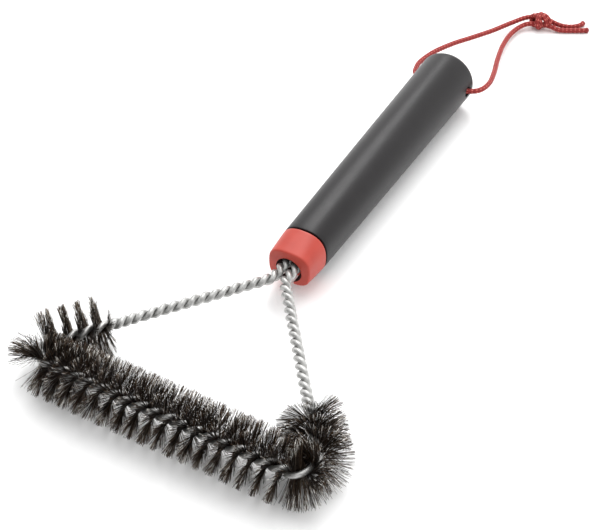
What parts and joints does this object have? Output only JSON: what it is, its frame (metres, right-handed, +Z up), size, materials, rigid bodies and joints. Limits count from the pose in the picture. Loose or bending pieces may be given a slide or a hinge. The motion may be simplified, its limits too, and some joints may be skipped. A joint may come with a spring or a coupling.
{
  "type": "grill cleaning brush",
  "caption": "Hand brush for grill grates: a three-sided twisted-wire head with steel bristles, a red collar, a tapered black grip and a knotted hanging cord.",
  "frame": {"origin": "on the resting surface, under the middle of the brush's length and width, the hanging cord left out", "axes": "+Y from the bristled bar to the rear end of the grip, +X along the bristled bar, +Z up"},
  "size_m": [0.1726, 0.4156, 0.032],
  "materials": {
    "galvanised_wire": "galvanised, satin",
    "bristles": "loose bundle of dark steel filaments with bright glints",
    "red_plastic": "satin moulded",
    "ferrule_steel": "plain",
    "black_plastic": "fine matte texture",
    "core_plastic": "plain moulded",
    "red_cord": "braided"
  },
  "bodies": {
    "brush": {"wire_strand_a": "galvanised_wire", "wire_strand_b": "galvanised_wire", "bristles_bar": "bristles", "bristles_corner_left": "bristles", "bristles_arm_left": "bristles", "bristles_corner_right": "bristles", "bristles_arm_right": "bristles", "collar": "red_plastic", "wire_ferrule": "ferrule_steel", "grip": "black_plastic", "grip_core": "core_plastic"},
    "hang_loop": {"cord_loop": "red_cord", "cord_knot": "red_cord", "cord_tail_left": "red_cord", "cord_tail_right": "red_cord"}
  },
  "joints": [
    {"name": "hang_loop_swing", "type": "hinge", "parent": "brush", "child": "hang_loop", "pos_m": [0, 0.144, 0.016], "axis": [1, 0, 0], "range_deg": [-130, 130]}
  ]
}
